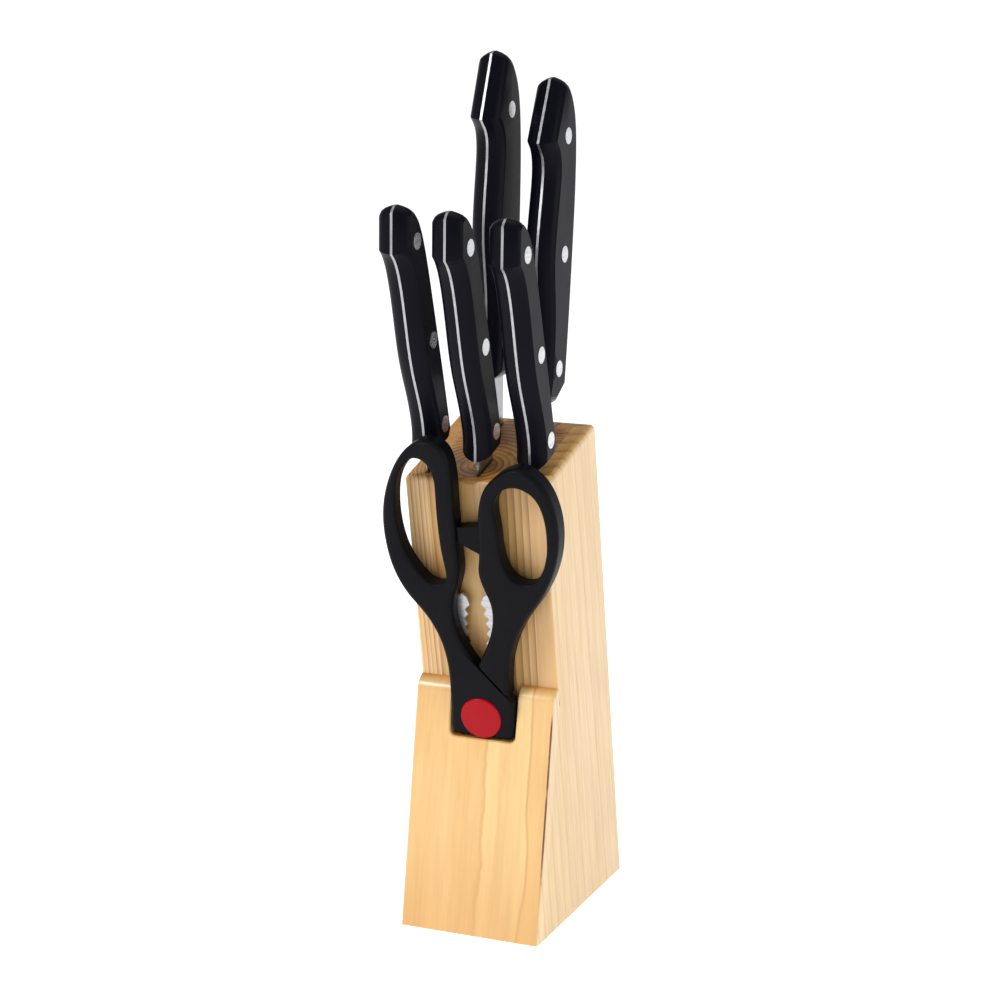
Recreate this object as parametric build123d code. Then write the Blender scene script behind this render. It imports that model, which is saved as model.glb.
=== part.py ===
"""Leaning pine knife block with five riveted kitchen knives and a pair of kitchen shears.

Millimetres, +Z up, -Y is the front. The origin is the middle of the base on the resting face.
"""
import os
from math import cos, radians, sin, sqrt, tan

from build123d import *

# ---- block -----------------------------------------------------------------
WIDTH = 60.0
BASE_DEPTH = 96.0
LEAN = 10.0                 # core leans forward, front plate leans back, degrees
CORE_FOOT = 39.4            # from the front of the base to the core's front face, at the base
TOP_FRONT_Z = 186.3
TOP_SLOPE = 16.7            # the end-grain top rises to the rear, degrees
TOP_EASE = 2.5              # rounding of the top edges
CORNER_EASE = 1.5           # rounding of the upright outer corners

PLATE_THICK = 6.5
PLATE_TOP_Z = 101.6
BULLNOSE_R = 7.0
PLATE_EASE = 1.0
NOTCH_WIDTH = 28.6
NOTCH_FLOOR_Z = 78.7
NOTCH_R = 2.5
NOTCH_EASE = 0.5

DOWEL_R = 2.5
DOWEL_LENGTH = 16.0
DOWEL_IN_PLATE = 4.0
DOWEL_X = 26.3
DOWEL_HEIGHTS = (20.0, 66.0)

# ---- knives ----------------------------------------------------------------
STEEL = 1.0                 # blade thickness
SLOT = 1.8                  # slot width in the boards
SLOT_CLEAR = 0.8            # in front of, behind and under the blade
HANDLE_HALF = 6.4           # from the blade's middle plane to a scale's flat side
RIVET_HEAD_R = 3.3
RIVET_HEAD = 1.8
RIVET_SHANK_R = 2.0
RIVET_PROUD = 0.15
# how a scale narrows from the blade to its flat side: (share of its thickness, share of the inset)
CROWN = ((0.0, 0.0), (0.35, 0.17), (0.66, 0.4), (0.88, 0.68), (1.0, 1.0))

# Outlines run in a knife's own plane: (towards the spine, up along the handle).
SMALL = dict(
    belly=[(0.0, 0.0), (2.0, 6.0), (2.9, 14.0), (2.3, 23.0), (0.7, 36.0), (0.7, 50.0), (1.5, 64.0),
           (1.5, 73.5), (0.7, 79.8), (-0.5, 83.4)],
    beak=(-2.1, 86.2), crown=(2.9, 100.6), round_top=[(7.6, 102.4), (12.6, 98.8), (15.8, 91.0), (17.0, 80.0)],
    spine=[(17.2, 60.0), (17.0, 30.0), (16.4, 4.5)], end=(12.5, 0.0),
    rivets=[(9.6, 9.2), (10.0, 45.5), (8.4, 87.5)], crowning=2.8,
)
LARGE = dict(
    belly=[(0.4, 0.0), (3.2, 10.0), (4.2, 24.0), (3.2, 40.0), (0.9, 56.0), (1.6, 70.0), (3.6, 84.0),
           (4.3, 91.5), (3.6, 96.6), (1.2, 100.2)],
    beak=(-2.3, 103.4), crown=(7.8, 128.6),
    round_top=[(13.0, 129.6), (20.0, 124.6), (25.0, 114.0), (27.0, 100.0)],
    spine=[(27.0, 66.0), (25.0, 24.0), (23.8, 7.0)], end=(14.0, 0.0),
    rivets=[(13.2, 15.0), (14.6, 60.5), (13.8, 107.0)], crowning=4.0,
)
# x: slot; front, z: the handle's lower front corner; tilt: forward lean of the whole knife
KNIVES = [
    dict(name="tomato_knife", x=-21.5, front=6.8, z=195.0, tilt=17.5, handle=SMALL,
         edge=1.0, spine=15.6, length=112.0, point=0.62),
    dict(name="utility_knife", x=0.0, front=7.8, z=193.4, tilt=17.5, handle=SMALL,
         edge=1.0, spine=15.6, length=125.0, point=0.70),
    dict(name="paring_knife", x=21.5, front=11.2, z=191.0, tilt=17.0, handle=SMALL,
         edge=1.0, spine=15.6, length=90.0, point=0.85),
    dict(name="chef_knife", x=-8.2, front=33.15, z=220.5, tilt=-1.0, handle=LARGE,
         edge=-4.0, spine=21.0, length=198.0, point=0.90),
    dict(name="carving_knife", x=12.2, front=34.74, z=211.5, tilt=-5.0, handle=LARGE,
         edge=-1.0, spine=20.0, length=165.0, point=0.80),
]

# ---- shears ----------------------------------------------------------------
# Outlines run in the plane of the core's front face: (to the right, up the face) from the pivot.
PIVOT_Z = 89.6              # height of the pivot's axis on the core's front face
BACK_STEEL = (1.2, 2.7)     # distances in front of the core's face
FRONT_STEEL = (2.8, 4.3)
GRIP = (3.0, 10.4)          # from the back to the front of the moulded handles
GRIP_ROUND = 2.0
HOLE_ROUND = 1.4
BOSS_HALF = 13.8
BOSS_FOOT = -8.9
BOSS_R = 3.4
HUB_R = 15.5                # the front boss keeps inside this radius where the other half swings
HUB_GAP = 0.4
TAB_FRONT = 8.4
JAW_MIDDLE = -1.9           # the cracker jaws face each other across this line
TOOTH_PITCH = 4.2
TOOTH_DEPTH = 1.7
JAW_TOP = 46.6
JAW_TEETH = 5
PIVOT_R = 3.0
PIVOT_FIT = 0.05            # radial clearance of the turning half
SCREW_HEAD_R = 4.5
SCREW_HEAD = 2.0
NUT_R = 5.0
NUT_THICK = 0.85
CAP_R = 8.75
CAP_SEAT = 7.8
CAP_TOP = 11.2

HALF = WIDTH / 2
ORIGIN_Y = BASE_DEPTH / 2
LEAN_STEP = tan(radians(LEAN))
RISE = tan(radians(TOP_SLOPE))


# ---- side profile of the block ---------------------------------------------
def core_front(z):
    return CORE_FOOT - z * LEAN_STEP


def plate_back(z):
    return z * LEAN_STEP + PLATE_THICK / cos(radians(LEAN))


def side(points):
    """A face in the side view, from (distance behind the base's front, height) points."""
    return Plane.YZ * make_face(Polyline([(y - ORIGIN_Y, z) for y, z in points], close=True))


TOP_FRONT = (core_front(TOP_FRONT_Z), TOP_FRONT_Z)
REAR_TOP_Z = (TOP_FRONT_Z + (BASE_DEPTH - TOP_FRONT[0]) * RISE) / (1 + LEAN_STEP * RISE)
REAR_TOP = (BASE_DEPTH - REAR_TOP_Z * LEAN_STEP, REAR_TOP_Z)
JOIN_Z = (CORE_FOOT - PLATE_THICK / cos(radians(LEAN))) / (2 * LEAN_STEP)
JOIN = (core_front(JOIN_Z), JOIN_Z)


def core_profile():
    return side([(CORE_FOOT, 0), (BASE_DEPTH, 0), REAR_TOP, TOP_FRONT])


def cheek_profile():
    return side([(plate_back(0), 0), (BASE_DEPTH, 0), REAR_TOP, TOP_FRONT, JOIN])


def board(profile, x_low, x_high):
    return extrude(Pos(x_low, 0, 0) * profile, x_high - x_low, dir=(1, 0, 0))


def edges_along_x(solid, places):
    """The edges that run across the block through the given side-view points."""
    found = []
    for edge in solid.edges().filter_by(Axis.X):
        middle = edge @ 0.5
        if any(abs(middle.Y + ORIGIN_Y - y) < 0.1 and abs(middle.Z - z) < 0.1 for y, z in places):
            found.append(edge)
    return found


def core_board(x_low, x_high):
    solid = board(core_profile(), x_low, x_high)
    return fillet(edges_along_x(solid, [TOP_FRONT, REAR_TOP]), TOP_EASE)


def cheek(x_low, x_high):
    """An outer board: it also closes one side of the shears' pocket."""
    solid = board(cheek_profile(), x_low, x_high)
    outer = x_high if x_high > 0 else x_low
    rim = [e for e in solid.edges() if abs((e @ 0).X - outer) < 0.01 and abs((e @ 1).X - outer) < 0.01]
    top = [e for e in rim if (e @ 0.5).Z > TOP_FRONT_Z - 0.5]
    solid = fillet(top + edges_along_x(solid, [TOP_FRONT, REAR_TOP]), TOP_EASE)
    rim = [e for e in solid.edges() if abs((e @ 0).X - outer) < 0.01 and abs((e @ 1).X - outer) < 0.01]
    upright = [e for e in rim if 40 < (e @ 0.5).Z < TOP_FRONT_Z - 0.5 and e.length > 60]
    upright = [e for e in upright if abs((e @ 0.5).Y + ORIGIN_Y - plate_back((e @ 0.5).Z)) > 1]
    return fillet(upright, CORNER_EASE)


# ---- front plate -----------------------------------------------------------
def front_plate():
    top = PLATE_TOP_Z * LEAN_STEP
    depth = PLATE_THICK / cos(radians(LEAN))
    slab = side([(0, 0), (top, PLATE_TOP_Z), (top + depth, PLATE_TOP_Z), (depth, 0)])
    corner = slab.vertices().sort_by(Axis.Z)[-2:].sort_by(Axis.Y)[0]
    slab = fillet(corner, BULLNOSE_R)
    plate = extrude(Pos(-HALF, 0, 0) * slab, WIDTH, dir=(1, 0, 0))
    plate -= board(core_profile(), -HALF - 1, HALF + 1)
    front = [e for e in plate.edges() if abs(abs((e @ 0.5).X) - HALF) < 0.01 and not on_plate_back(e)]
    plate = fillet([e for e in front if (e @ 0.5).Z > 1], PLATE_EASE)
    plate -= notch()
    leaning = plate.faces().filter_by(lambda f: abs(f.normal_at().Y + cos(radians(LEAN))) < 0.01)
    face = leaning.sort_by(Axis.Z)[0]
    inner = [e for e in face.edges() if abs((e @ 0.5).X) < HALF - 5 and (e @ 0.5).Z > 10]
    return chamfer([e for e in inner if (e @ 0.5).Z < PLATE_TOP_Z - 7.5], NOTCH_EASE)


def on_plate_back(edge):
    middle = edge @ 0.5
    y = middle.Y + ORIGIN_Y
    return abs(y - plate_back(middle.Z)) < 0.3 or abs(y - core_front(middle.Z)) < 0.3


def notch():
    """The opening that the shears' boss sits in, cut right through the plate."""
    height = 40.0
    shape = Rectangle(NOTCH_WIDTH, height, align=(Align.CENTER, Align.MIN))
    shape = fillet(shape.vertices().sort_by(Axis.Y)[:2], NOTCH_R)
    return extrude(Plane.XZ * Pos(0, NOTCH_FLOOR_Z) * shape, HALF * 2, both=True)


def dowel_places():
    """Planes at the plate's back face, pointing into the cheeks."""
    into = (0, cos(radians(LEAN)), -sin(radians(LEAN)))
    return [Plane(origin=(x, plate_back(z) - ORIGIN_Y, z), z_dir=into)
            for x in (-DOWEL_X, DOWEL_X) for z in DOWEL_HEIGHTS]


def dowels():
    pin = Cylinder(DOWEL_R, DOWEL_LENGTH, align=(Align.CENTER, Align.CENTER, Align.MIN))
    pin = Pos(0, 0, -DOWEL_IN_PLATE) * pin
    return [place * pin for place in dowel_places()]


# ---- knives ----------------------------------------------------------------
def knife_plane(knife):
    """x towards the spine, y up along the handle, z across the block."""
    tilt = radians(knife["tilt"])
    return Plane(origin=(knife["x"], knife["front"] - ORIGIN_Y, knife["z"]),
                 x_dir=(0, cos(tilt), sin(tilt)), z_dir=(1, 0, 0))


def moved_in(points, inset):
    """The closed outline's points, each moved inwards by the inset (the outline runs clockwise)."""
    moved = []
    for before, here, after in zip([points[-1], *points], points, [*points[1:], points[0]]):
        first = (Vector(*here) - Vector(*before)).normalized()
        second = (Vector(*after) - Vector(*here)).normalized()
        normals = Vector(first.Y, -first.X) + Vector(second.Y, -second.X)
        normals = normals.normalized()
        reach = inset / max(0.6, normals.dot(Vector(first.Y, -first.X)))
        moved.append((here[0] + normals.X * reach, here[1] + normals.Y * reach))
    return moved


def handle_outline(handle, inset=0.0):
    belly, top, spine = handle["belly"], handle["round_top"], handle["spine"]
    points = moved_in([*belly, handle["beak"], handle["crown"], *top, *spine, handle["end"]], inset)
    grip = points[:len(belly)]
    beak, crown = points[len(belly):len(belly) + 2]
    back = points[len(belly) + 1:-1]
    return make_face([
        Spline(grip),
        Line(grip[-1], beak),
        Line(beak, crown),
        Spline(back),
        Line(back[-1], points[-1]),
        Line(points[-1], grip[0]),
    ])


def scale(handle):
    """One moulded handle half, on the +z side of the blade, crowned towards its flat side."""
    thick = HANDLE_HALF - STEEL / 2
    sections = [Pos(0, 0, STEEL / 2 + thick * out) * handle_outline(handle, handle["crowning"] * inset)
                for out, inset in CROWN]
    return loft(sections, ruled=True) - rivet_shapes(handle)


def rivet_shapes(handle):
    """Three through rivets with flat heads that finish just proud of the scales."""
    end = HANDLE_HALF + RIVET_PROUD
    shank = Cylinder(RIVET_SHANK_R, 2 * end)
    head = Cylinder(RIVET_HEAD_R, RIVET_HEAD + RIVET_PROUD, align=(Align.CENTER, Align.CENTER, Align.MAX))
    one = shank + Pos(0, 0, end) * head + mirror(Pos(0, 0, end) * head, about=Plane.XY)
    return [Pos(v, u, 0) * one for v, u in handle["rivets"]]


def blade_outline(knife):
    """The exposed blade: heel, straight edge, curved belly up to the point, straight spine."""
    edge, spine, length = knife["edge"], knife["spine"], knife["length"]
    width = spine - edge
    tip = (edge + width * knife["point"], -length)
    bend = -length * 0.55
    return make_face([
        Polyline([(spine, 1.0), (edge + 1.5, 1.0), (edge + 1.5, -2.0), (edge, -4.0), (edge, bend)]),
        Spline([(edge, bend), (edge + width * 0.2 * knife["point"], -length * 0.8), tip]),
        Spline([tip, (spine - width * 0.12 * (1 - knife["point"]), -length * 0.86), (spine, -length * 0.72)]),
        Line((spine, -length * 0.72), (spine, 1.0)),
    ])


def blade(knife):
    """Blade and full tang in one, ground on both sides down to the cutting edge."""
    handle = knife["handle"]
    edge, spine, length = knife["edge"], knife["spine"], knife["length"]
    half = STEEL / 2
    solid = extrude(handle_outline(handle), half, both=True)
    solid += extrude(blade_outline(knife), half, both=True)
    grind = Polyline([(edge - 1, 0.08), (spine - 2, half), (spine - 2, 3), (edge - 1, 3)], close=True)
    section = Plane(origin=(0, -4.0, 0), x_dir=(1, 0, 0), z_dir=(0, -1, 0)) * make_face(grind)
    cut = extrude(section, length)
    solid -= [cut, mirror(cut, about=Plane.XY)]
    return solid - rivet_shapes(handle)


def slot_cut(knife):
    """The channel for one blade, open at the top of the block."""
    low = -(knife["length"] + SLOT_CLEAR)
    high = 40.0
    front = knife["edge"] - SLOT_CLEAR
    back = knife["spine"] + SLOT_CLEAR
    channel = Pos((front + back) / 2, (low + high) / 2, 0) * Box(back - front, high - low, SLOT)
    return knife_plane(knife) * channel


# ---- shears ----------------------------------------------------------------
def shears_plane():
    lean = radians(LEAN)
    return Plane(origin=(0, core_front(PIVOT_Z) - ORIGIN_Y, PIVOT_Z),
                 x_dir=(1, 0, 0), z_dir=(0, -cos(lean), -sin(lean)))


def on_circle(radius, angle):
    return (radius * cos(radians(angle)), radius * sin(radians(angle)))


def layer(face, low, high):
    return extrude(Pos(0, 0, low) * face, high - low)


def facing_jaw():
    """Right-hand edge of the left jaw: a bowed row of teeth, from the top down."""
    points = []
    steps = 2 * JAW_TEETH
    for i in range(steps + 1):
        along = i / steps
        bow = 1.6 * (1 - (2 * along - 1) ** 2)
        dip = TOOTH_DEPTH if i % 2 else 0
        points.append((-4.0 - bow - dip, JAW_TOP - i * TOOTH_PITCH / 2))
    return points


def across_jaw(points):
    return [(2 * JAW_MIDDLE - x, s) for x, s in points]


def steel_outline():
    """The half whose handle is on the left; its blade crosses to the right below the pivot."""
    jaw = facing_jaw()
    return make_face([
        Polyline([(-10.0, 50.0), (-7.0, 51.2), (-5.2, 49.8), *jaw]),
        Spline([jaw[-1], (-1.5, 19.0), (6.5, 11.5), (11.2, 2.0), (11.6, -12.0)]),
        Spline([(11.6, -12.0), (9.4, -42.0), (2.0, -78.0)]),
        Polyline([(2.0, -78.0), (-0.5, -76.5), (-3.0, -40.0), (-5.5, -15.0)]),
        Spline([(-5.5, -15.0), (-9.5, -7.0), (-11.0, 4.0), (-11.2, 18.0), (-11.4, 30.0), (-10.0, 50.0)]),
    ])


def left_grip_outline():
    outer = [(-13.2, 12.0), (-13.4, 21.0), (-16.0, 33.0), (-22.1, 43.8), (-27.6, 50.2), (-33.2, 60.0),
             (-36.2, 73.0), (-36.0, 87.5), (-32.0, 101.0), (-25.0, 112.0), (-16.5, 117.0), (-9.0, 115.0),
             (-5.6, 107.0), (-5.2, 94.0), (-5.3, 78.0), (-4.9, 66.0)]
    jaw_window = [outer[-1], (-6.4, 57.0), (-9.0, 48.0), (-8.8, 40.0), (-6.2, 32.0), (-0.4, 22.6)]
    face = make_face([
        Line((-BOSS_HALF, BOSS_FOOT), outer[0]),
        Spline(outer),
        Spline(jaw_window),
        Line(jaw_window[-1], (9.4, 12.4)),
        Line((9.4, 12.4), (BOSS_HALF, 10.0)),
        Line((BOSS_HALF, 10.0), (BOSS_HALF, BOSS_FOOT)),
        Line((BOSS_HALF, BOSS_FOOT), (-BOSS_HALF, BOSS_FOOT)),
    ])
    return fillet(face.vertices().sort_by(Axis.Y)[:2], BOSS_R)


def left_hole_outline():
    return make_face(Spline([(-22.6, 108.6), (-28.2, 101.3), (-30.3, 92.0), (-30.2, 80.5), (-27.5, 69.5),
                             (-22.6, 61.6), (-16.2, 57.0), (-11.6, 58.4), (-11.2, 65.0), (-12.6, 79.0),
                             (-12.7, 94.0), (-13.6, 104.0), (-17.4, 108.8)], periodic=True))


def right_grip_outline():
    outer = [(12.0, 6.0), (12.3, 15.0), (13.6, 26.0), (16.9, 35.6), (22.5, 45.5), (27.8, 52.6),
             (32.6, 60.5), (36.7, 71.4), (38.2, 83.4), (36.4, 95.0), (31.2, 104.2), (23.2, 108.4),
             (14.8, 105.4), (8.4, 99.2), (5.3, 91.0), (4.3, 80.3), (3.5, 67.0)]
    jaw_window = [outer[-1], (4.2, 58.5), (7.2, 50.5), (7.5, 42.0), (5.3, 34.0), (0.2, 23.4)]
    return make_face([
        Spline(outer),
        Spline(jaw_window),
        Line(jaw_window[-1], (10.1, 13.1)),
        Line((10.1, 13.1), outer[0]),
    ])


def right_hole_outline():
    return make_face(Spline([(14.2, 97.4), (22.4, 100.4), (28.7, 97.2), (32.2, 90.0), (33.2, 79.7),
                             (31.0, 67.6), (25.4, 61.0), (18.4, 61.8), (13.6, 70.2), (12.4, 84.0)],
                            periodic=True))


def grip(outline, hole, back):
    """A moulded handle with a rounded rim and a softer rounding in the finger hole."""
    body = layer(outline, back, GRIP[1])
    outer_rim = body.faces().sort_by(Axis.Z)[-1].edges().sort_by(SortBy.LENGTH)[-1]
    body = fillet(outer_rim, GRIP_ROUND)
    body -= layer(hole, back - 1, GRIP[1] + 1)
    return fillet(hole_edges(body, hole), HOLE_ROUND)


def hole_edges(body, hole):
    """The long closed edges where the finger hole meets the front and the back."""
    length = hole.edges()[0].length
    return [e for e in body.edges() if abs(e.length - length) < 0.5]


def left_grip():
    body = grip(left_grip_outline(), left_hole_outline(), GRIP[0])
    body -= layer(steel_outline(), GRIP[0] - 1, FRONT_STEEL[1])
    # the lower handle and the boss lie wholly in front of both blades
    body -= layer(make_face(Polyline([(-20, -20), (20, -20), (20, 30), (-20, 30)], close=True)),
                  GRIP[0] - 1, FRONT_STEEL[1])
    swing = make_face(Polyline([(0, 0), (40, 0), (40, 40), (0, 40)], close=True)) - Circle(HUB_R)
    body -= layer(swing & Pos(13.2, 10) * Rectangle(7.6, 14), GRIP[0] - 1, GRIP[1] + 1)
    body -= layer(Circle(CAP_R + 0.15), CAP_SEAT, GRIP[1] + 1)
    body -= layer(Circle(SCREW_HEAD_R + 0.2), FRONT_STEEL[1] - 1, CAP_SEAT + 1)
    return body


def right_steel_outline():
    """The other half: the same pressing turned over about the pivot, with the facing jaw."""
    jaw = across_jaw(facing_jaw())
    return make_face([
        Polyline([(8.0, 50.0), (3.2, 51.2), (1.4, 49.8), *jaw]),
        Spline([jaw[-1], (-1.0, 19.0), (-7.5, 11.5), (-11.2, 2.0), (-11.6, -12.0)]),
        Spline([(-11.6, -12.0), (-9.4, -42.0), (-2.0, -78.0)]),
        Polyline([(-2.0, -78.0), (0.5, -76.5), (3.0, -40.0), (5.5, -15.0)]),
        Spline([(5.5, -15.0), (9.5, -7.0), (11.0, 4.0), (11.2, 18.0), (11.2, 30.0), (8.0, 50.0)]),
    ])


def right_grip():
    body = grip(right_grip_outline(), right_hole_outline(), BACK_STEEL[1])
    body -= layer(Circle(HUB_R + HUB_GAP), BACK_STEEL[1] - 1, GRIP[1] + 1)
    tab = make_face(Polyline([(5.5, 82.6), (-4.9, 81.4), (-4.9, 75.0), (4.5, 70.6)], close=True))
    body += layer(tab, GRIP[0], TAB_FRONT)
    return body


def shear_blade(outline, low, high, hole_r):
    """One steel half with its pivot hole."""
    body = layer(outline, low, high)
    body -= layer(Circle(hole_r), low - 1, high + 1)
    return body


def pivot_screw():
    low = BACK_STEEL[0] - NUT_THICK + 0.1
    screw = layer(Circle(PIVOT_R), low, FRONT_STEEL[1])
    screw += layer(Circle(SCREW_HEAD_R), FRONT_STEEL[1], FRONT_STEEL[1] + SCREW_HEAD)
    slot = Pos(0, 0, FRONT_STEEL[1] + SCREW_HEAD) * Box(2 * SCREW_HEAD_R, 1.2, 1.6)
    return screw - slot


def pivot_nut():
    nut = layer(Circle(NUT_R), BACK_STEEL[0] - NUT_THICK, BACK_STEEL[0])
    return nut - layer(Circle(PIVOT_R), 0, BACK_STEEL[0] + 1)


def pivot_cap():
    cap = layer(Circle(CAP_R), CAP_SEAT, CAP_TOP)
    rim = cap.faces().sort_by(Axis.Z)[-1].edges()
    cap = fillet(rim, 0.9)
    return cap


# ---- the set ---------------------------------------------------------------
def block_nodes():
    joints = [k["x"] + SLOT / 2 for k in sorted(KNIVES, key=lambda k: k["x"])]
    walls = [-HALF, *joints, HALF]
    names = ["left_cheek", "core_board_1", "core_board_2", "core_board_3", "core_board_4", "right_cheek"]
    pins = dowels()
    slots = [slot_cut(k) for k in KNIVES]
    nodes = {}
    for name, low, high in zip(names, walls, walls[1:]):
        make = cheek if name.endswith("cheek") else core_board
        nodes[name] = make(low, high) - slots
        if make is cheek:
            nodes[name] -= pins
    nodes["front_plate"] = front_plate() - pins
    nodes["plate_dowels"] = Compound(children=pins)
    return nodes


def knife_nodes(knife):
    place = knife_plane(knife)
    handle = knife["handle"]
    right = scale(handle)
    name = knife["name"]
    return {
        name + "_blade": place * blade(knife),
        name + "_scale_right": place * right,
        name + "_scale_left": place * mirror(right, about=Plane.XY),
        name + "_rivets": Compound(children=[place * rivet for rivet in rivet_shapes(handle)]),
    }


def shears_nodes():
    place = shears_plane()
    nodes = {
        "shears_front_blade": shear_blade(steel_outline(), *FRONT_STEEL, PIVOT_R),
        "shears_back_blade": shear_blade(right_steel_outline(), *BACK_STEEL, PIVOT_R + PIVOT_FIT),
        "shears_left_handle": left_grip(),
        "shears_right_handle": right_grip(),
        "shears_pivot_screw": pivot_screw(),
        "shears_pivot_nut": pivot_nut(),
        "shears_pivot_cap": pivot_cap(),
    }
    return {name: place * shape for name, shape in nodes.items()}


def main():
    os.makedirs("parts", exist_ok=True)
    nodes = block_nodes()
    for knife in KNIVES:
        nodes.update(knife_nodes(knife))
    nodes.update(shears_nodes())
    for name, shape in nodes.items():
        export_step(shape, f"parts/{name}.step")


main()
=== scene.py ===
"""Looks for the leaning pine knife block: materials, floor, lights and camera around the CAD frame.

Metres, +Z up, -Y is the front. Colours are linear, and each grain describes one board's figure.
"""
import math

import bpy
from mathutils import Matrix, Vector

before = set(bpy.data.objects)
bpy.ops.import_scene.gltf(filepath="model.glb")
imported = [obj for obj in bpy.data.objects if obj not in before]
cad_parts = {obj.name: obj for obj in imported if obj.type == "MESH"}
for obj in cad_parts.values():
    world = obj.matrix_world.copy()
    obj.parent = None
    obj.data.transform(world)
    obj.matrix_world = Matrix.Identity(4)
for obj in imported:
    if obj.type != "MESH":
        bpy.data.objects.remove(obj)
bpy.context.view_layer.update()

# ---- camera and floor --------------------------------------------------------
CAMERA_AT = (0.3765, -0.8976, 0.3843)
CAMERA_AZIMUTH = math.radians(23.11)
CAMERA_ELEVATION = math.radians(12.40)
LENS_MM = 88.3
SENSOR_MM = 36
FLOOR_SIZE = 400
FLOOR_GLOW = 0.7
SKY = 0.37                       # strength of the plain sky, against 1 at the horizon
HORIZON = (0.19, 0.24)           # upward share of the direction over which the horizon fades to the sky

# ---- wood ----------------------------------------------------------------------
# Each grain: pale and middle are the ground's two tones, and line is the colour of the dark rings.
# pith is the tree's middle as (x, depth), gap the distance between rings, sharp how thin a dark line
# is, wander how far the rings sway, and drift how far they shift in depth along the grain.
# strength is the least and the most for one ring's line, streaks the strength of the fine streaks
# along the grain, and knot its (x, depth, reach).
LEAN = math.radians(10)
CORE_GRAIN = dict(
    pale=(0.74, 0.48, 0.19), middle=(0.61, 0.35, 0.11), line=(0.24, 0.065, 0.010),
    pith=(-0.003, 0.010), gap=0.0026, sharp=2.0, wander=0.005, drift=0.03,
    strength=(0.5, 1.0), streaks=0.55, knot=(0.0165, 0.036, 0.012),
)
LEFT_GRAIN = dict(
    pale=(0.83, 0.61, 0.32), middle=(0.77, 0.52, 0.24), line=(0.38, 0.14, 0.03),
    pith=(-0.003, 0.010), gap=0.0016, sharp=2.0, wander=0.004, drift=0.02,
    strength=(0.5, 1.0), streaks=0.3,
)
CHEEK_GRAIN = dict(
    pale=(0.80, 0.60, 0.34), middle=(0.76, 0.55, 0.28), line=(0.60, 0.27, 0.05),
    pith=(-0.16, 0.42), gap=0.0066, sharp=9.0, wander=0.010, drift=0.02,
    strength=(0.45, 1.0), streaks=0.14,
)
DOWEL_GRAIN = dict(
    pale=(0.85, 0.70, 0.48), middle=(0.80, 0.62, 0.40), line=(0.60, 0.42, 0.22),
    pith=(0.2, 0.2), gap=0.002, sharp=5.0, wander=0.006, drift=0.0,
    strength=(0.35, 1.0), streaks=0.0,
)
CHEEK_FRONT_SHADE_AND_CUT = (0.84, 0.70, 0.52)  # painted shade that darkens the right cheek's front face, partly a different cut of the board
KNOT_RINGS = 3.2                  # how many rings bend round the knot
END_TINT = (1.0, 0.82, 0.47)
WOOD_RELIEF = 0.00012

PLATE_RINGS = dict(pith=(0.16, -0.34), gap=0.0075, wander=0.012, drift=0.0)
PLATE_STRENGTH = (0.1, 0.35)
PLATE_FIGURE = 0.6                # the plate's fibres, against 1 for the boards
PLATE_LEFT = ((0.80, 0.52, 0.215), (0.72, 0.43, 0.15))
PLATE_RIGHT = ((0.84, 0.60, 0.27), (0.78, 0.52, 0.21))
PLATE_RIM = (0.60, 0.32, 0.09)
PLATE_STRIP = (0.75, 0.46, 0.17)
PLATE_GROOVE = (0.52, 0.25, 0.07)
PLATE_LINE = (0.66, 0.36, 0.12)
PLATE_FOOT = (0.66, 0.36, 0.11)
FOOT_HEIGHT = 0.05
EDGE_SWAY = 0.005                 # of the edge between the plate's two tones
STRIP_SWAY = 0.014                # of the strip at the plate's right
FLANK = (0.027, 0.029)            # distance from the middle where the plate's outer sides begin
# painted shadow of the gap between the plate's right corner and the right cheek
GAP_SHADOW = (0.14, 0.030, 0.012)

# ---- plastic and metal -----------------------------------------------------------
HANDLE_BLACK = dict(
    colour=(0.0022, 0.0021, 0.0050), worn=(0.0034, 0.0033, 0.0074), roughness=0.34,
    grain=2600, depth=0.00003, gloss=0.065,
)
SHEARS_BLACK = dict(
    colour=(0.0035, 0.0035, 0.0048), worn=(0.0055, 0.0055, 0.0075), roughness=0.42,
    grain=1900, depth=0.00005, gloss=0.07,
)
CAP_RED = dict(
    colour=(0.33, 0.0015, 0.007), worn=(0.36, 0.003, 0.010), roughness=0.3,
    grain=1400, depth=0.00002, gloss=0.12, coat=0.04,
)
BLADE_STEEL = dict(tint=(0.42, 0.42, 0.44), stretch=(1, 1, 0.05), roughness=0.2)
RIVET_STEEL = dict(tint=(0.74, 0.75, 0.78), stretch=(1, 0.1, 1), roughness=0.14)
SHEARS_STEEL = dict(tint=(0.52, 0.52, 0.54), stretch=(0.06, 1, 1), roughness=0.24)
SCREW_STEEL = dict(tint=(0.70, 0.70, 0.68), stretch=(1, 1, 1), roughness=0.3)
STEEL_STAIN = (0.42, 0.40, 0.38)
STEEL_RELIEF = 0.00002

WELD_GAP = 0.000005
CRISP_EDGE = math.radians(28)

KNIVES = ("tomato_knife", "utility_knife", "paring_knife", "chef_knife", "carving_knife")


# ---- shader helpers ---------------------------------------------------------
def new_material(name):
    """A material with an empty tree but for its Principled shader: (material, tree, shader)."""
    material = bpy.data.materials.new(name)
    material.use_nodes = True
    tree = material.node_tree
    return material, tree, tree.nodes["Principled BSDF"]


def put(tree, socket, value):
    """Links a socket to a value that is another socket, or sets it to a number or colour."""
    if isinstance(value, bpy.types.NodeSocket):
        tree.links.new(value, socket)
    else:
        socket.default_value = value


def calc(tree, operation, *values):
    node = tree.nodes.new("ShaderNodeMath")
    node.operation = operation
    for socket, value in zip(node.inputs, values):
        put(tree, socket, value)
    return node.outputs[0]


def product(tree, first, *others):
    for other in others:
        first = calc(tree, "MULTIPLY", first, other)
    return first


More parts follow.
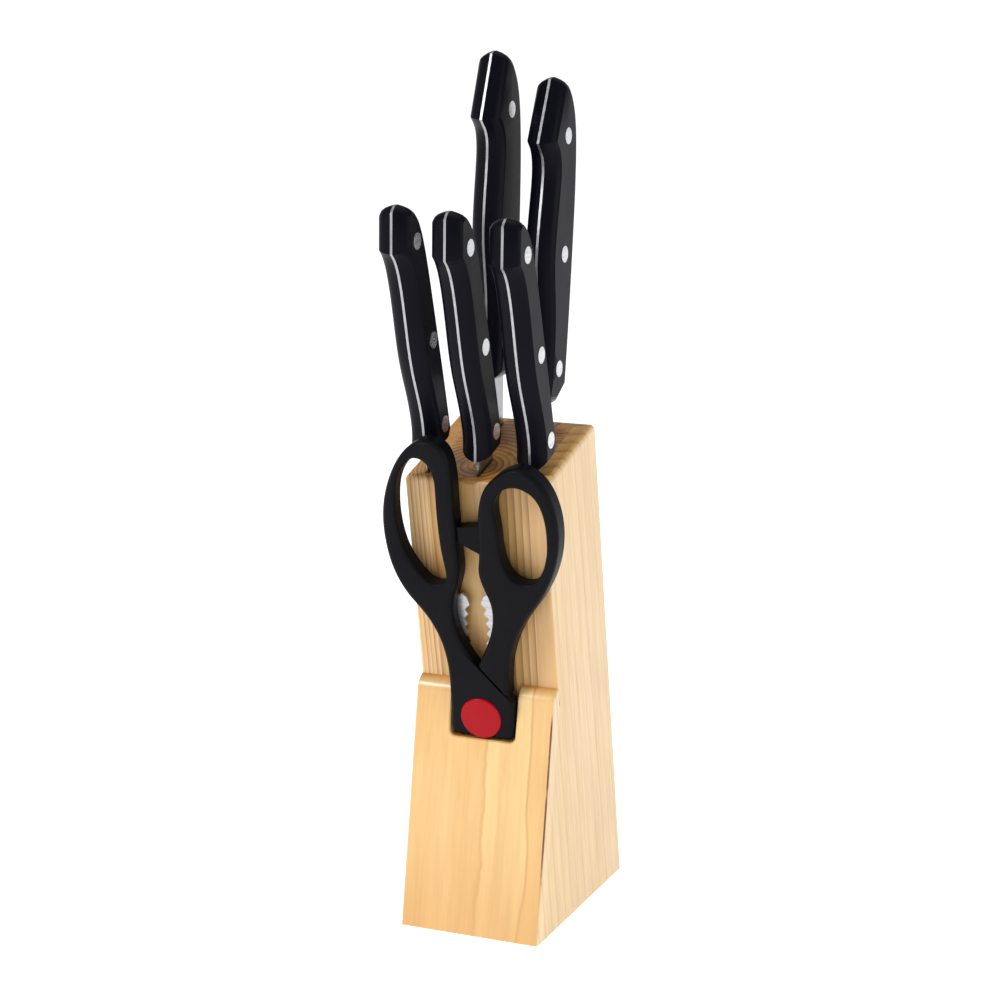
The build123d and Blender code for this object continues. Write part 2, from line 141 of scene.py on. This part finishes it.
def coordinates(tree, turn=0.0, stretch=(1, 1, 1), move=(0, 0, 0)):
    """Object coordinates, turned about X so that the grain runs along Z, then stretched."""
    source = tree.nodes.new("ShaderNodeTexCoord")
    turned = tree.nodes.new("ShaderNodeMapping")
    turned.inputs["Rotation"].default_value = (turn, 0, 0)
    tree.links.new(source.outputs["Object"], turned.inputs["Vector"])
    scaled = tree.nodes.new("ShaderNodeMapping")
    scaled.inputs["Scale"].default_value = stretch
    scaled.inputs["Location"].default_value = move
    tree.links.new(turned.outputs[0], scaled.inputs["Vector"])
    return scaled.outputs[0]


def parts_of(tree, vector):
    """A vector's X, Y and Z."""
    split = tree.nodes.new("ShaderNodeSeparateXYZ")
    tree.links.new(vector, split.inputs[0])
    return split.outputs


def facing(tree, axis):
    """The share of the surface's normal along an axis of the object: 0 is X, 1 is Y, 2 is Z."""
    return parts_of(tree, tree.nodes.new("ShaderNodeTexCoord").outputs["Normal"])[axis]


def noise(tree, vector, scale, detail=3.0, rough=0.5):
    node = tree.nodes.new("ShaderNodeTexNoise")
    tree.links.new(vector, node.inputs["Vector"])
    node.inputs["Scale"].default_value = scale
    node.inputs["Detail"].default_value = detail
    node.inputs["Roughness"].default_value = rough
    return node.outputs["Fac"]


def ramp(tree, factor, stops):
    node = tree.nodes.new("ShaderNodeValToRGB")
    tree.links.new(factor, node.inputs[0])
    elements = node.color_ramp.elements
    while len(elements) < len(stops):
        elements.new(0.5)
    for element, (place, colour) in zip(elements, stops):
        element.position = place
        element.color = (*colour, 1)
    return node.outputs[0]


def mix(tree, factor, first, second, blend="MIX"):
    node = tree.nodes.new("ShaderNodeMix")
    node.data_type = "RGBA"
    node.blend_type = blend
    put(tree, node.inputs[0], factor)
    for socket, value in zip((node.inputs[6], node.inputs[7]), (first, second)):
        put(tree, socket, value if isinstance(value, bpy.types.NodeSocket) else (*value, 1))
    return node.outputs[2]


def between(tree, value, low, high, out_low=0.0, out_high=1.0):
    """Eases from out_low to out_high as a value goes from low to high."""
    node = tree.nodes.new("ShaderNodeMapRange")
    node.interpolation_type = "SMOOTHSTEP"
    for socket, number in zip(node.inputs, (value, low, high, out_low, out_high)):
        put(tree, socket, number)
    return node.outputs[0]


def band(tree, value, rise, fall):
    """Eases in from 0 to 1 over rise, and back to 0 over fall."""
    return calc(tree, "MULTIPLY", between(tree, value, *rise), between(tree, value, *fall, 1.0, 0.0))


def bump(tree, shader, height, strength, distance):
    node = tree.nodes.new("ShaderNodeBump")
    node.inputs["Strength"].default_value = strength
    node.inputs["Distance"].default_value = distance
    tree.links.new(height, node.inputs["Height"])
    tree.links.new(node.outputs[0], shader.inputs["Normal"])


# ---- wood --------------------------------------------------------------------
def end_grain(tree, turn):
    """1 where the surface cuts across the grain, 0 where it runs along it."""
    source = tree.nodes.new("ShaderNodeTexCoord")
    along = tree.nodes.new("ShaderNodeVectorMath")
    along.operation = "DOT_PRODUCT"
    tree.links.new(source.outputs["Normal"], along.inputs[0])
    along.inputs[1].default_value = (0, math.sin(turn), math.cos(turn))
    return between(tree, calc(tree, "ABSOLUTE", along.outputs["Value"]), 0.55, 0.9)


def ring_place(tree, turn, pith, gap, wander, drift):
    """How many rings from the tree's middle, wandering along the grain."""
    x, y, along = parts_of(tree, coordinates(tree, turn))
    sway = noise(tree, coordinates(tree, turn, (1, 1, 0.18)), 22, 2)
    heave = noise(tree, coordinates(tree, turn, (1, 1, 0.18), (3, 5, 7)), 22, 2)
    x = calc(tree, "ADD", x, calc(tree, "MULTIPLY_ADD", sway, wander, -pith[0] - wander / 2))
    y = calc(tree, "ADD", y, calc(tree, "MULTIPLY_ADD", heave, wander, -pith[1] - wander / 2))
    y = calc(tree, "MULTIPLY_ADD", along, drift, y)
    square = calc(tree, "MULTIPLY_ADD", x, x, calc(tree, "MULTIPLY", y, y))
    return calc(tree, "DIVIDE", calc(tree, "SQRT", square), gap)


def ring_lines(tree, place, sharp):
    """0 in the pale early wood, rising to 1 at the thin dark late wood."""
    share = calc(tree, "FRACT", place)
    rise = calc(tree, "POWER", share, sharp)
    fall = between(tree, share, 0.93, 1.0, 1.0, 0.0)
    return calc(tree, "MULTIPLY", rise, fall)


def ring_strength(tree, place, low, high):
    """Each ring's own strength, so that no two lines are alike."""
    each = tree.nodes.new("ShaderNodeTexWhiteNoise")
    each.noise_dimensions = "1D"
    tree.links.new(calc(tree, "FLOOR", place), each.inputs["W"])
    return calc(tree, "MULTIPLY_ADD", each.outputs["Value"], high - low, low)


def knot_shape(tree, x, y, reach):
    """1 at a knot's middle, falling to 0 at its reach, for a knot that runs up through the board."""
    source = tree.nodes.new("ShaderNodeVectorMath")
    source.operation = "DISTANCE"
    tree.links.new(coordinates(tree, -LEAN, (1, 1, 0)), source.inputs[0])
    source.inputs[1].default_value = (x, y, 0)
    return between(tree, source.outputs["Value"], 0.0, reach, 1.0, 0.0)


def ringed(tree, pale, middle, line, pith, gap, sharp, wander, drift, strength, streaks, knot=None):
    """The colour of a board whose grain runs up the leaning block: (colour, ring place)."""
    place = ring_place(tree, -LEAN, pith, gap, wander, drift)
    if knot:
        near = knot_shape(tree, *knot)
        place = calc(tree, "MULTIPLY_ADD", near, KNOT_RINGS, place)
    lines = calc(tree, "MULTIPLY", ring_lines(tree, place, sharp), ring_strength(tree, place, *strength))
    cloud = noise(tree, coordinates(tree, -LEAN, (1, 1, 0.3)), 35, 3, 0.55)
    colour = mix(tree, between(tree, cloud, 0.35, 0.7), pale, middle)
    colour = mix(tree, lines, colour, line)
    fine = noise(tree, coordinates(tree, -LEAN, (1, 1, 0.02)), 260, 2, 0.6)
    colour = mix(tree, between(tree, fine, 0.56, 0.70, 0.0, streaks), colour, line)
    if knot:
        colour = mix(tree, between(tree, near, 0.55, 0.95, 0.0, 0.7), colour, line)
    return colour, place


def cut_end(tree, turn, place):
    """The tint of wood cut across the grain: open pores, and the rings as darker arcs."""
    pores = noise(tree, coordinates(tree, turn), 1500, 2, 0.7)
    open_pores = ramp(tree, pores, [(0.35, (0.5, 0.34, 0.2)), (0.65, (1, 1, 1))])
    arcs = ramp(tree, calc(tree, "FRACT", place), [
        (0.0, (1, 0.98, 0.92)), (0.55, (0.92, 0.85, 0.72)),
        (0.93, (0.62, 0.45, 0.26)), (1.0, (0.95, 0.9, 0.8)),
    ])
    tint = mix(tree, 0.35, END_TINT, open_pores, "MULTIPLY")
    return mix(tree, 0.65, tint, arcs, "MULTIPLY")


def wood_finish(tree, shader, colour, place, turn, figure=1.0, coat=(0.2, 0.22)):
    """Fibres, end grain and a thin satin lacquer over the ring colour; figure scales the fibres."""
    fibre = noise(tree, coordinates(tree, turn, (1, 1, 0.03)), 900, 4, 0.6)
    fleck = noise(tree, coordinates(tree, turn, (1, 1, 0.1)), 260, 3, 0.6)
    fibres = ramp(tree, fibre, [(0.3, (0.62, 0.5, 0.36)), (0.7, (1, 1, 1))])
    flecks = ramp(tree, fleck, [(0.34, (0.6, 0.42, 0.25)), (0.6, (1, 1, 1))])
    colour = mix(tree, 0.28 * figure, colour, fibres, "MULTIPLY")
    colour = mix(tree, 0.22 * figure, colour, flecks, "MULTIPLY")
    across = mix(tree, 1.0, colour, cut_end(tree, turn, place), "MULTIPLY")
    colour = mix(tree, end_grain(tree, turn), colour, across)
    tree.links.new(colour, shader.inputs["Base Color"])
    tree.links.new(calc(tree, "MULTIPLY_ADD", fleck, 0.22, 0.3), shader.inputs["Roughness"])
    shader.inputs["Coat Weight"].default_value, shader.inputs["Coat Roughness"].default_value = coat
    lines = ring_lines(tree, place, 6.0)
    height = calc(tree, "MULTIPLY_ADD", lines, 0.5, calc(tree, "MULTIPLY", fibre, 0.5))
    bump(tree, shader, height, 0.14, WOOD_RELIEF)


def pine(name, front=(1, 1, 1), **grain):
    """A board of the block; front darkens its front face as painted shade, and partly because that face is
    cut nearer to the tree's middle.
    """
    material, tree, shader = new_material(name)
    colour, place = ringed(tree, **grain)
    # painted shade on the front-facing side, partly its different cut
    front_shade_share = between(tree, facing(tree, 1), -0.85, -0.6, 1.0, 0.0)
    colour = mix(tree, front_shade_share, colour, mix(tree, 1.0, colour, front, "MULTIPLY"))
    wood_finish(tree, shader, colour, place, -LEAN)
    return material


def plate_face(tree, across):
    """Paler sapwood to the right of a wavy edge with a dark rim, and a strip at the right in a groove."""
    wave = noise(tree, coordinates(tree, LEAN, (0.2, 0.2, 1)), 60, 3, 0.6)
    slow = noise(tree, coordinates(tree, LEAN, (0.1, 2.2, 1), (2, 0, 0)), 18, 1)
    edge = calc(tree, "MULTIPLY_ADD", wave, EDGE_SWAY, across)
    strip = calc(tree, "MULTIPLY_ADD", slow, STRIP_SWAY, across)
    cloud = noise(tree, coordinates(tree, LEAN, (1, 1, 0.3)), 45, 4, 0.6)
    tone = between(tree, cloud, 0.3, 0.7)
    left, right = mix(tree, tone, *PLATE_LEFT), mix(tree, tone, *PLATE_RIGHT)
    colour = mix(tree, between(tree, edge, 0.0052, 0.0062), left, right)
    for mask, share, tint in (
        (band(tree, edge, (0.0032, 0.0052), (0.0052, 0.0056)), 0.5, PLATE_RIM),
        (between(tree, strip, 0.0284, 0.0288), 0.8, PLATE_STRIP),
        (band(tree, strip, (0.0276, 0.0284), (0.0286, 0.0292)), 0.55, PLATE_GROOVE),
    ):
        colour = mix(tree, calc(tree, "MULTIPLY", mask, share), colour, tint)
    return colour


def painted_gap_shadow(tree, side, across, up):
    """1 along the ragged painted shadow in the gap at the plate's right corner."""
    corner = band(tree, side, (0.16, 0.3), (0.75, 0.95))
    right = between(tree, across, *FLANK)
    chips = noise(tree, coordinates(tree, 0, (1, 1, 0.4)), 130, 3, 0.6)
    ragged = between(tree, chips, 0.34, 0.5, 0.55, 1.0)
    height = band(tree, up, (0.012, 0.04), (0.086, 0.094))
    return product(tree, corner, right, ragged, height)


def plate_wood(name):
    """The front plate: two tones of wood on its face, the cheeks' grain on its flanks, and a painted shadow
    in the gap at its right corner.
    """
    material, tree, shader = new_material(name)
    place = ring_place(tree, LEAN, **PLATE_RINGS)
    across, _, up = parts_of(tree, coordinates(tree))
    lines = calc(tree, "MULTIPLY", ring_lines(tree, place, 2.0), ring_strength(tree, place, *PLATE_STRENGTH))
    colour = mix(tree, lines, plate_face(tree, across), PLATE_LINE)
    foot = calc(tree, "MULTIPLY", between(tree, up, 0.0, FOOT_HEIGHT, 1.0, 0.0), 0.6)
    colour = mix(tree, foot, colour, PLATE_FOOT)
    side = facing(tree, 0)
    outside = calc(tree, "MULTIPLY", between(tree, calc(tree, "ABSOLUTE", across), *FLANK),
                   between(tree, calc(tree, "ABSOLUTE", side), 0.55, 0.7))
    cheek, _ = ringed(tree, **CHEEK_GRAIN)
    colour = mix(tree, outside, colour, cheek)
    # painted shadow in the unmodelled gap beside the right cheek
    colour = mix(tree, painted_gap_shadow(tree, side, across, up), colour, GAP_SHADOW)
    wood_finish(tree, shader, colour, place, LEAN, PLATE_FIGURE, (0.5, 0.16))
    return material


# ---- plastic and metal ---------------------------------------------------------
def moulded(name, colour, worn, roughness, grain, depth, gloss, coat=0.0):
    """Moulded plastic: a fine spark-eroded grain, and rubbed places that shine a little more."""
    material, tree, shader = new_material(name)
    fine = noise(tree, coordinates(tree), grain, 2, 0.6)
    rubbed = noise(tree, coordinates(tree, 0, (1, 1, 0.6)), 70, 4, 0.6)
    speck = noise(tree, coordinates(tree, 0, (1, 1, 1), (1, 2, 3)), 900, 2, 0.7)
    tone = mix(tree, between(tree, rubbed, 0.4, 0.75, 0.0, 0.5), colour, worn)
    tone = mix(tree, between(tree, speck, 0.66, 0.78, 0.0, 0.4), tone, worn)
    tree.links.new(tone, shader.inputs["Base Color"])
    rough = calc(tree, "MULTIPLY_ADD", rubbed, -0.16, roughness + 0.08)
    tree.links.new(rough, shader.inputs["Roughness"])
    shader.inputs["Specular IOR Level"].default_value = gloss
    shader.inputs["Coat Weight"].default_value = coat
    shader.inputs["Coat Roughness"].default_value = 0.12
    bump(tree, shader, fine, 0.35, depth)
    return material


def ground_steel(name, tint, stretch, roughness):
    """Steel with grinding lines along one direction and faint stains."""
    material, tree, shader = new_material(name)
    lines = noise(tree, coordinates(tree, 0, stretch), 1400, 3, 0.7)
    stain = noise(tree, coordinates(tree), 60, 4, 0.6)
    dull = tuple(c * 0.72 for c in tint)
    tone = mix(tree, between(tree, lines, 0.3, 0.7), dull, tint)
    tone = mix(tree, between(tree, stain, 0.55, 0.8, 0.0, 0.25), tone, STEEL_STAIN)
    tree.links.new(tone, shader.inputs["Base Color"])
    shader.inputs["Metallic"].default_value = 1.0
    tree.links.new(calc(tree, "MULTIPLY_ADD", lines, 0.2, roughness), shader.inputs["Roughness"])
    bump(tree, shader, lines, 0.3, STEEL_RELIEF)
    return material


# ---- dressing the CAD pieces -----------------------------------------------------
def smooth(node):
    """Shades the curved faces smooth and leaves the real edges crisp."""
    for face in node.data.polygons:
        face.use_smooth = True
    weld = node.modifiers.new("weld", "WELD")
    weld.merge_threshold = WELD_GAP
    split = node.modifiers.new("edges", "EDGE_SPLIT")
    split.split_angle = CRISP_EDGE


def dress(names, material):
    for name in names:
        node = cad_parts[name]
        node.data.materials.clear()
        node.data.materials.append(material)
        smooth(node)


def dress_block():
    dress(["core_board_1", "core_board_2", "core_board_3", "core_board_4"], pine("pine_core", **CORE_GRAIN))
    dress(["right_cheek"], pine("pine_cheek", CHEEK_FRONT_SHADE_AND_CUT, **CHEEK_GRAIN))
    dress(["left_cheek"], pine("pine_left_cheek", **LEFT_GRAIN))
    dress(["front_plate"], plate_wood("plate_pine"))
    dress(["plate_dowels"], pine("dowel_wood", **DOWEL_GRAIN))


def dress_knives():
    black = moulded("handle_black", **HANDLE_BLACK)
    steel = ground_steel("blade_steel", **BLADE_STEEL)
    rivet = ground_steel("rivet_steel", **RIVET_STEEL)
    for knife in KNIVES:
        dress([knife + "_scale_left", knife + "_scale_right"], black)
        dress([knife + "_blade"], steel)
        dress([knife + "_rivets"], rivet)


def dress_shears():
    dress(["shears_left_handle", "shears_right_handle"], moulded("shears_black", **SHEARS_BLACK))
    dress(["shears_front_blade", "shears_back_blade"], ground_steel("shears_steel", **SHEARS_STEEL))
    dress(["shears_pivot_screw", "shears_pivot_nut"], ground_steel("screw_steel", **SCREW_STEEL))
    dress(["shears_pivot_cap"], moulded("cap_red", **CAP_RED))


# ---- studio -----------------------------------------------------------------------
def floor():
    """A pale floor that glows a little, so that it stays white out to the horizon."""
    bpy.ops.mesh.primitive_plane_add(size=FLOOR_SIZE, location=(0, 0, 0))
    plane = bpy.context.object
    plane.name = "studio_floor"
    material, tree, shader = new_material("studio_floor")
    mottle = noise(tree, coordinates(tree), 3, 2)
    pale = ramp(tree, mottle, [(0.3, (0.93, 0.93, 0.93)), (0.7, (0.95, 0.95, 0.95))])
    tree.links.new(pale, shader.inputs["Base Color"])
    shader.inputs["Roughness"].default_value = 0.9
    shader.inputs["Specular IOR Level"].default_value = 0.1
    shader.inputs["Emission Color"].default_value = (1, 1, 1, 1)
    shader.inputs["Emission Strength"].default_value = FLOOR_GLOW
    plane.data.materials.append(material)


def softbox(name, place, aim, size, power, colour=(1, 1, 1)):
    data = bpy.data.lights.new(name, "AREA")
    data.shape = "RECTANGLE"
    data.size, data.size_y = size
    data.energy = power
    data.color = colour
    lamp = bpy.data.objects.new(name, data)
    lamp.location = place
    lamp.rotation_euler = (Vector(aim) - Vector(place)).to_track_quat("-Z", "Y").to_euler()
    bpy.context.scene.collection.objects.link(lamp)


def sky():
    """A soft plain sky, white at the horizon, where the floor ends."""
    world = bpy.data.worlds.new("studio")
    bpy.context.scene.world = world
    world.use_nodes = True
    tree = world.node_tree
    upward = parts_of(tree, tree.nodes.new("ShaderNodeTexCoord").outputs["Generated"])[2]
    background = tree.nodes["Background"]
    background.inputs["Color"].default_value = (1, 1, 1, 1)
    tree.links.new(between(tree, upward, *HORIZON, 1.0, SKY), background.inputs["Strength"])


def studio():
    sky()
    softbox("key", (-0.75, -1.0, 0.95), (0, 0, 0.15), (0.4, 0.4), 10.5)
    softbox("right_fill", (1.4, -0.3, 0.7), (0, 0, 0.15), (0.7, 1.2), 5.5, (0.92, 0.94, 1.0))
    softbox("top", (0, 0.1, 1.6), (0, 0, 0.1), (1.2, 1.2), 5)
    bpy.context.scene.view_settings.view_transform = "Standard"


def camera():
    data = bpy.data.cameras.new("camera")
    data.lens = LENS_MM
    data.sensor_width = SENSOR_MM
    eye = bpy.data.objects.new("camera", data)
    eye.location = CAMERA_AT
    level = math.cos(CAMERA_ELEVATION)
    look = Vector((-math.sin(CAMERA_AZIMUTH) * level, math.cos(CAMERA_AZIMUTH) * level,
                   -math.sin(CAMERA_ELEVATION)))
    eye.rotation_euler = look.to_track_quat("-Z", "Y").to_euler()
    bpy.context.scene.collection.objects.link(eye)
    bpy.context.scene.camera = eye


dress_block()
dress_knives()
dress_shears()
floor()
studio()
camera()
